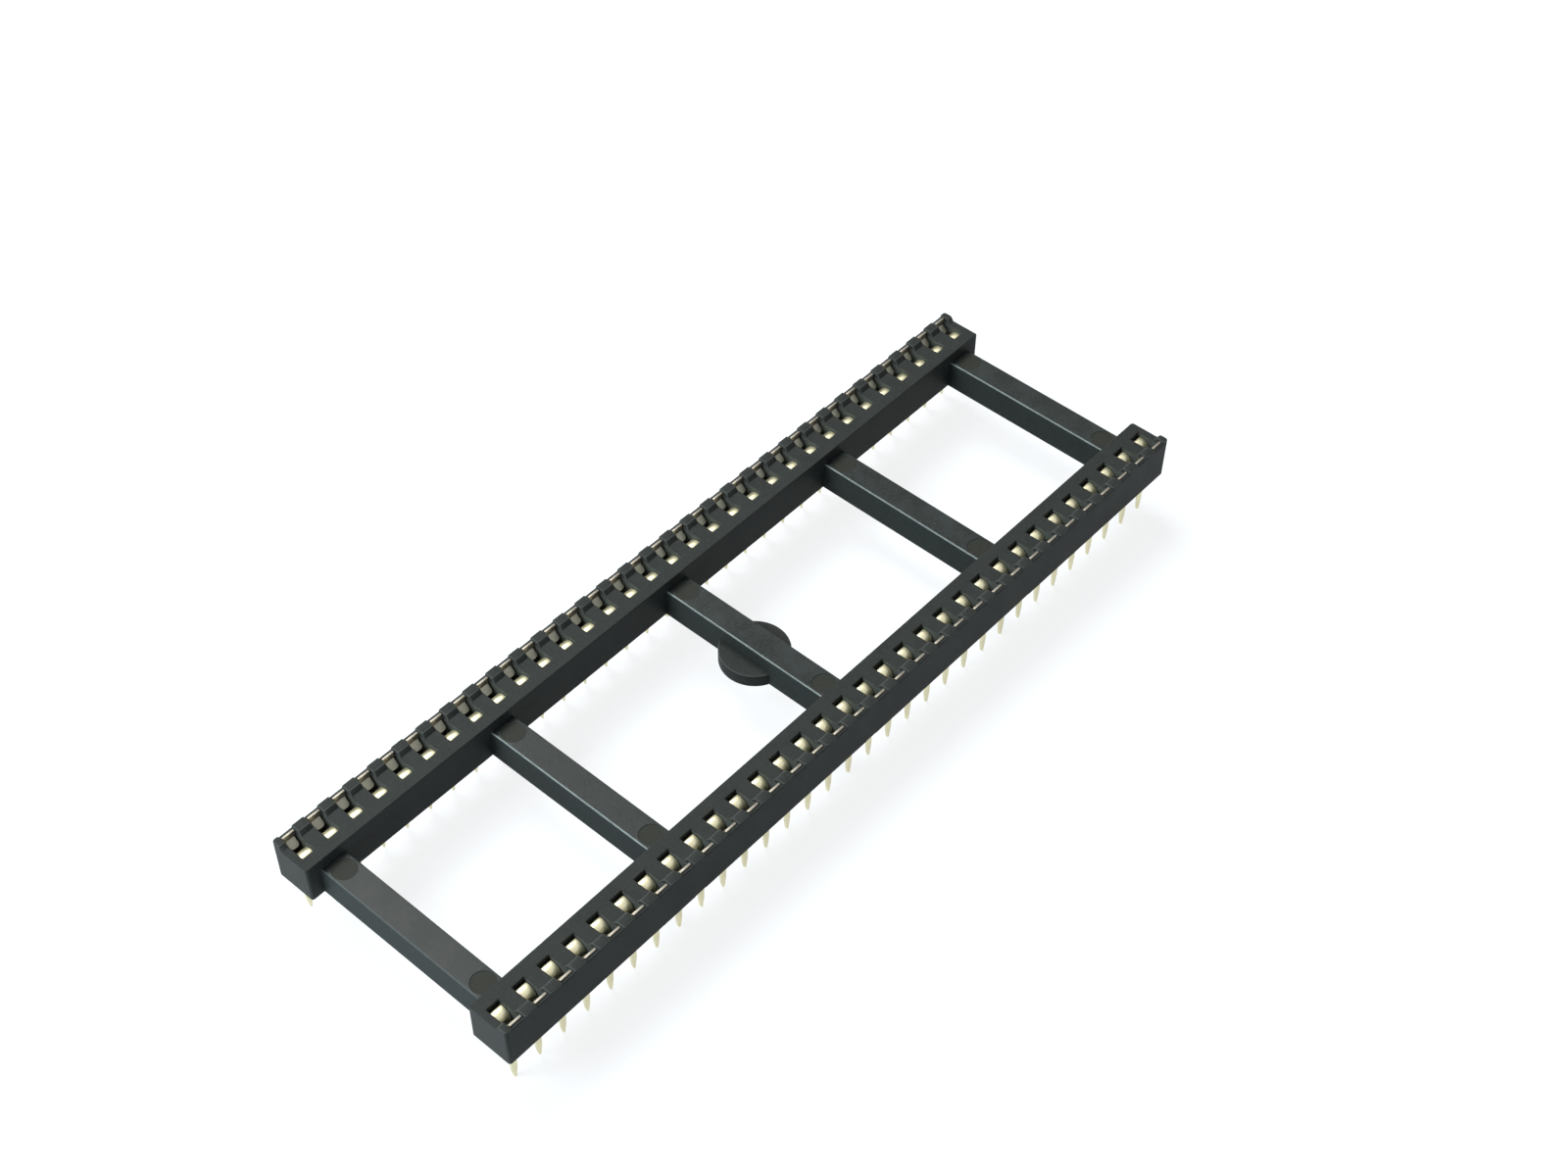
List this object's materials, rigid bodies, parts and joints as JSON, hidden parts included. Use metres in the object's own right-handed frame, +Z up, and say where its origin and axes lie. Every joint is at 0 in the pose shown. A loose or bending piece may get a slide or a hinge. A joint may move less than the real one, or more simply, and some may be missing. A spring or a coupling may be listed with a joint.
{
  "type": "dip ic socket",
  "caption": "Long dual-in-line chip socket: open ladder frame with two rails of sprung flat-tail contacts.",
  "frame": {"origin": "centre of the housing's underside, in the plane that rests on the circuit board", "axes": "+X along the rows toward the end with the low flange, +Y across the rows, +Z up away from the board"},
  "size_m": [0.0812, 0.0254, 0.0087],
  "materials": {
    "housing": "moulded dark grey plastic, satin on the seats and smooth on the crossbars",
    "contact": "tin-plated copper alloy strip, bright on the lips and dull inside"
  },
  "bodies": {
    "root": {"housing": "housing", "contact_pair_01": "contact", "contact_pair_02": "contact", "contact_pair_03": "contact", "contact_pair_04": "contact", "contact_pair_05": "contact", "contact_pair_06": "contact", "contact_pair_07": "contact", "contact_pair_08": "contact", "contact_pair_09": "contact", "contact_pair_10": "contact", "contact_pair_11": "contact", "contact_pair_12": "contact", "contact_pair_13": "contact", "contact_pair_14": "contact", "contact_pair_15": "contact", "contact_pair_16": "contact", "contact_pair_17": "contact", "contact_pair_18": "contact", "contact_pair_19": "contact", "contact_pair_20": "contact", "contact_pair_21": "contact", "contact_pair_22": "contact", "contact_pair_23": "contact", "contact_pair_24": "contact", "contact_pair_25": "contact", "contact_pair_26": "contact", "contact_pair_27": "contact", "contact_pair_28": "contact", "contact_pair_29": "contact", "contact_pair_30": "contact", "contact_pair_31": "contact", "contact_pair_32": "contact"}
  },
  "joints": []
}
